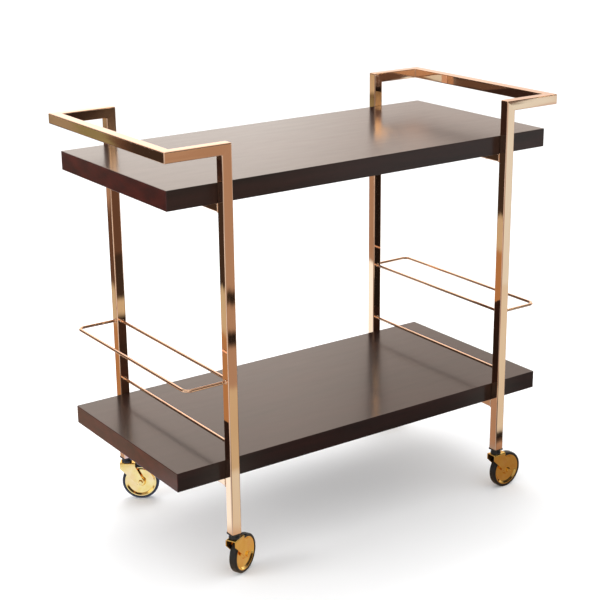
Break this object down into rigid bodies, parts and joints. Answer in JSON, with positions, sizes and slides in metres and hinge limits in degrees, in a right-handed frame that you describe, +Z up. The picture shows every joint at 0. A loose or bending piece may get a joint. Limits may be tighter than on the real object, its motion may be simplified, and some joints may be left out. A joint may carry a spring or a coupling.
{
  "type": "food service trolley",
  "caption": "Two-tier serving trolley: copper-plated square-tube frame with push handles, thick dark boards, wire bottle guards and swivel casters.",
  "frame": {"origin": "on the floor, under the middle of the shelves", "axes": "+Z up; X along the shelves, from one push handle to the other; -Y towards the front long side"},
  "size_m": [0.884, 0.4477, 0.819],
  "materials": {
    "copper_plate": "polished rose-gold copper plate on steel tube and wire",
    "dark_board": "dark espresso stain under semi-gloss lacquer",
    "gold_plate": "bright yellow-gold plate on pressed steel",
    "black_rubber": "smooth black rubber",
    "black_plastic": "black moulded plastic",
    "zinc_steel": "zinc-plated steel"
  },
  "bodies": {
    "frame": {"leg_front_left": "copper_plate", "handle_arm_front_left": "copper_plate", "leg_insert_front_left": "black_plastic", "caster_stem_front_left": "zinc_steel", "caster_race_front_left": "black_plastic", "caster_balls_front_left": "zinc_steel", "leg_rear_left": "copper_plate", "handle_arm_rear_left": "copper_plate", "leg_insert_rear_left": "black_plastic", "caster_stem_rear_left": "zinc_steel", "caster_race_rear_left": "black_plastic", "caster_balls_rear_left": "zinc_steel", "leg_front_right": "copper_plate", "handle_arm_front_right": "copper_plate", "leg_insert_front_right": "black_plastic", "caster_stem_front_right": "zinc_steel", "caster_race_front_right": "black_plastic", "caster_balls_front_right": "zinc_steel", "leg_rear_right": "copper_plate", "handle_arm_rear_right": "copper_plate", "leg_insert_rear_right": "black_plastic", "caster_stem_rear_right": "zinc_steel", "caster_race_rear_right": "black_plastic", "caster_balls_rear_right": "zinc_steel", "handle_bar_left": "copper_plate", "cross_tube_upper_left": "copper_plate", "cross_tube_lower_left": "copper_plate", "guard_loop_left": "copper_plate", "guard_rail_upper_left": "copper_plate", "guard_rail_lower_left": "copper_plate", "handle_bar_right": "copper_plate", "cross_tube_upper_right": "copper_plate", "cross_tube_lower_right": "copper_plate", "guard_loop_right": "copper_plate", "guard_rail_upper_right": "copper_plate", "guard_rail_lower_right": "copper_plate", "upper_shelf": "dark_board", "lower_shelf": "dark_board", "upper_shelf_screws": "zinc_steel", "lower_shelf_screws": "zinc_steel"},
    "swivel_front_left": {"caster_fork_front_left": "gold_plate", "axle_bolt_front_left": "gold_plate", "axle_sleeve_front_left": "zinc_steel"},
    "rolling_front_left": {"wheel_front_left": "gold_plate", "tyre_front_left": "black_rubber"},
    "swivel_rear_left": {"caster_fork_rear_left": "gold_plate", "axle_bolt_rear_left": "gold_plate", "axle_sleeve_rear_left": "zinc_steel"},
    "rolling_rear_left": {"wheel_rear_left": "gold_plate", "tyre_rear_left": "black_rubber"},
    "swivel_front_right": {"caster_fork_front_right": "gold_plate", "axle_bolt_front_right": "gold_plate", "axle_sleeve_front_right": "zinc_steel"},
    "rolling_front_right": {"wheel_front_right": "gold_plate", "tyre_front_right": "black_rubber"},
    "swivel_rear_right": {"caster_fork_rear_right": "gold_plate", "axle_bolt_rear_right": "gold_plate", "axle_sleeve_rear_right": "zinc_steel"},
    "rolling_rear_right": {"wheel_rear_right": "gold_plate", "tyre_rear_right": "black_rubber"}
  },
  "joints": [
    {"name": "turn_front_left", "type": "hinge", "parent": "frame", "child": "swivel_front_left", "pos_m": [-0.321, -0.2075, 0.081], "axis": [0, 0, 1], "continuous": true},
    {"name": "roll_front_left", "type": "hinge", "parent": "swivel_front_left", "child": "rolling_front_left", "pos_m": [-0.2965, -0.19501, 0.038], "axis": [-0.454, 0.891, 0], "continuous": true},
    {"name": "turn_rear_left", "type": "hinge", "parent": "frame", "child": "swivel_rear_left", "pos_m": [-0.321, 0.2075, 0.081], "axis": [0, 0, 1], "continuous": true},
    {"name": "roll_rear_left", "type": "hinge", "parent": "swivel_rear_left", "child": "rolling_rear_left", "pos_m": [-0.29875, 0.19134, 0.038], "axis": [0.5878, 0.809, 0], "continuous": true},
    {"name": "turn_front_right", "type": "hinge", "parent": "frame", "child": "swivel_front_right", "pos_m": [0.321, -0.2075, 0.081], "axis": [0, 0, 1], "continuous": true},
    {"name": "roll_front_right", "type": "hinge", "parent": "swivel_front_right", "child": "rolling_front_right", "pos_m": [0.34846, -0.20606, 0.038], "axis": [-0.0523, 0.9986, 0], "continuous": true},
    {"name": "turn_rear_right", "type": "hinge", "parent": "frame", "child": "swivel_rear_right", "pos_m": [0.321, 0.2075, 0.081], "axis": [0, 0, 1], "continuous": true},
    {"name": "roll_rear_right", "type": "hinge", "parent": "swivel_rear_right", "child": "rolling_rear_right", "pos_m": [0.34715, 0.199, 0.038], "axis": [0.309, 0.9511, 0], "continuous": true}
  ]
}
